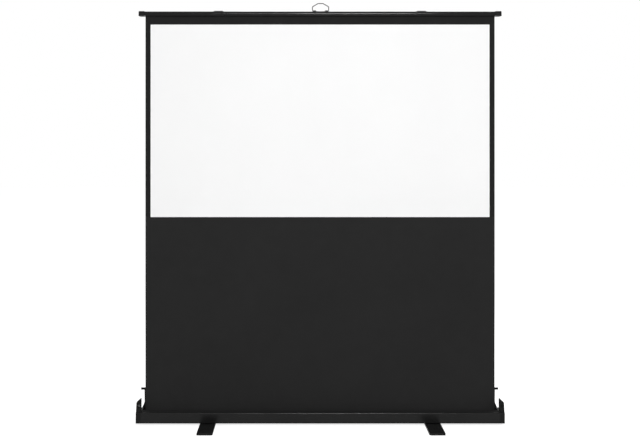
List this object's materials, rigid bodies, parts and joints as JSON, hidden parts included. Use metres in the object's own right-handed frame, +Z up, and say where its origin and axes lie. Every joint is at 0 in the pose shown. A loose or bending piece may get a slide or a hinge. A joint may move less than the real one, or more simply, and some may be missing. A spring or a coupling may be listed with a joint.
{
  "type": "floor standing pull-up projection screen",
  "caption": "Pull-up projection screen raised by a scissor linkage out of a long low case on swivelling feet, with a lid and a wire pull loop.",
  "frame": {"origin": "on the floor, midway between the two foot swivels, at the bottom centre of the whole part", "axes": "+X along the case to the viewer's right, +Y away from the viewer, +Z up"},
  "size_m": [1.939, 0.556, 2.231],
  "materials": {
    "case_aluminium": "satin black powder coat on an extrusion",
    "cap_plastic": "fine textured black moulding",
    "screw_steel": "blackened steel",
    "roller_steel": "zinc plated steel",
    "plug_plastic": "black moulding",
    "foot_aluminium": "matt black powder coat",
    "pad_rubber": "matt black rubber",
    "swivel_steel": "zinc plated steel",
    "arm_aluminium": "black anodised",
    "pin_steel": "bright zinc plated steel",
    "roller_nylon": "white nylon",
    "track_aluminium": "mill finish",
    "bracket_steel": "black painted steel",
    "bar_aluminium": "satin black powder coat on an extrusion",
    "lug_plastic": "black moulding",
    "screen_fabric": "matt white vinyl cloth with black borders and a black drop",
    "rod_plastic": "grey extruded rod",
    "loop_steel": "dark nickel plated wire",
    "lid_aluminium": "satin black powder coat on an extrusion"
  },
  "bodies": {
    "root": {"case_shell": "case_aluminium", "end_cap_right": "cap_plastic", "end_cap_left": "cap_plastic", "end_cap_screws_right": "screw_steel", "end_cap_screws_left": "screw_steel", "spindle_bracket_right": "roller_steel", "spindle_bracket_left": "roller_steel", "swivel_plate_right": "swivel_steel", "swivel_plate_left": "swivel_steel", "swivel_screw_right": "screw_steel", "swivel_screw_left": "screw_steel", "base_track": "track_aluminium", "base_pivot_bracket": "bracket_steel", "lid_hinge_pin_right": "pin_steel", "lid_hinge_pin_left": "pin_steel"},
    "roller": {"roller_tube": "roller_steel", "roller_plug_right": "plug_plastic", "roller_plug_left": "plug_plastic"},
    "lower_front_arm": {"arm_lower_front": "arm_aluminium", "middle_pin_lower": "pin_steel", "knee_pin_right": "pin_steel"},
    "lower_rear_arm": {"arm_lower_rear": "arm_aluminium", "knee_pin_left": "pin_steel", "base_roller_pin": "pin_steel"},
    "upper_rear_arm": {"arm_upper_rear": "arm_aluminium", "middle_pin_upper": "pin_steel"},
    "upper_front_arm": {"arm_upper_front": "arm_aluminium", "top_roller_pin": "pin_steel"},
    "base_wheel": {"base_roller": "roller_nylon"},
    "top_wheel": {"top_roller": "roller_nylon"},
    "bar": {"top_bar": "bar_aluminium", "bar_cap_right": "cap_plastic", "bar_cap_left": "cap_plastic", "top_track": "track_aluminium", "top_pivot_bracket": "bracket_steel", "track_hanger": "bracket_steel", "screen_cloth": "screen_fabric", "hem_rod": "rod_plastic", "loop_bridge": "lug_plastic", "loop_lug_right": "lug_plastic", "loop_lug_left": "lug_plastic"},
    "loop": {"pull_loop": "loop_steel"},
    "foot_right": {"foot_right": "foot_aluminium", "foot_pad_right_front": "pad_rubber", "foot_pad_right_rear": "pad_rubber"},
    "foot_left": {"foot_left": "foot_aluminium", "foot_pad_left_front": "pad_rubber", "foot_pad_left_rear": "pad_rubber"},
    "lid": {"lid_panel": "lid_aluminium", "lid_cap_right": "cap_plastic", "lid_cap_left": "cap_plastic"}
  },
  "joints": [
    {"name": "scissor_fold", "type": "hinge", "parent": "root", "child": "lower_front_arm", "pos_m": [-0.538, 0, 0.028], "axis": [0, 1, 0], "range_deg": [0, 46.2], "deforming": ["screen_cloth"]},
    {"name": "lower_cross", "type": "hinge", "parent": "lower_front_arm", "child": "lower_rear_arm", "pos_m": [-0.04362, 0, 0.56188], "axis": [0, 1, 0], "range_deg": [-92.5, 0.1]},
    {"name": "knee_right", "type": "hinge", "parent": "lower_front_arm", "child": "upper_rear_arm", "pos_m": [0.45077, 0, 1.09575], "axis": [0, 1, 0], "range_deg": [-92.5, 0.1]},
    {"name": "upper_cross", "type": "hinge", "parent": "upper_rear_arm", "child": "upper_front_arm", "pos_m": [-0.04362, 0, 1.62963], "axis": [0, 1, 0], "range_deg": [-0.1, 92.5]},
    {"name": "bar_pivot", "type": "hinge", "parent": "upper_rear_arm", "child": "bar", "pos_m": [-0.538, 0, 2.1635], "axis": [0, 1, 0], "range_deg": [-0.1, 46.3]},
    {"name": "roller_spin", "type": "hinge", "parent": "root", "child": "roller", "pos_m": [0, -0.02655, 0.041], "axis": [1, 0, 0], "range_deg": [-6146.4, 20]},
    {"name": "base_roller_turn", "type": "hinge", "parent": "lower_rear_arm", "child": "base_wheel", "pos_m": [0.45077, 0.042, 0.028], "axis": [0, 1, 0], "continuous": true},
    {"name": "top_roller_turn", "type": "hinge", "parent": "upper_front_arm", "child": "top_wheel", "pos_m": [0.45077, 0.008, 2.1635], "axis": [0, 1, 0], "continuous": true},
    {"name": "foot_right_swivel", "type": "hinge", "parent": "root", "child": "foot_right", "pos_m": [0.592, 0, 0.012], "axis": [0, 0, 1], "range_deg": [0, 90]},
    {"name": "foot_left_swivel", "type": "hinge", "parent": "root", "child": "foot_left", "pos_m": [-0.592, 0, 0.012], "axis": [0, 0, 1], "range_deg": [-90, 0]},
    {"name": "loop_fold", "type": "hinge", "parent": "bar", "child": "loop", "pos_m": [0.003, 0, 2.1887], "axis": [1, 0, 0], "range_deg": [-90, 90]},
    {"name": "lid_tilt", "type": "hinge", "parent": "root", "child": "lid", "pos_m": [0, 0.068, 0.0585], "axis": [1, 0, 0], "range_deg": [0, 18]}
  ],
  "couplings": [
    {"joint": "lower_cross", "follows": "scissor_fold", "ratio": -2},
    {"joint": "knee_right", "follows": "scissor_fold", "ratio": -2},
    {"joint": "upper_cross", "follows": "scissor_fold", "ratio": 2},
    {"joint": "bar_pivot", "follows": "scissor_fold", "ratio": 1},
    {"joint": "roller_spin", "follows": "scissor_fold", "ratio": -132.6}
  ]
}
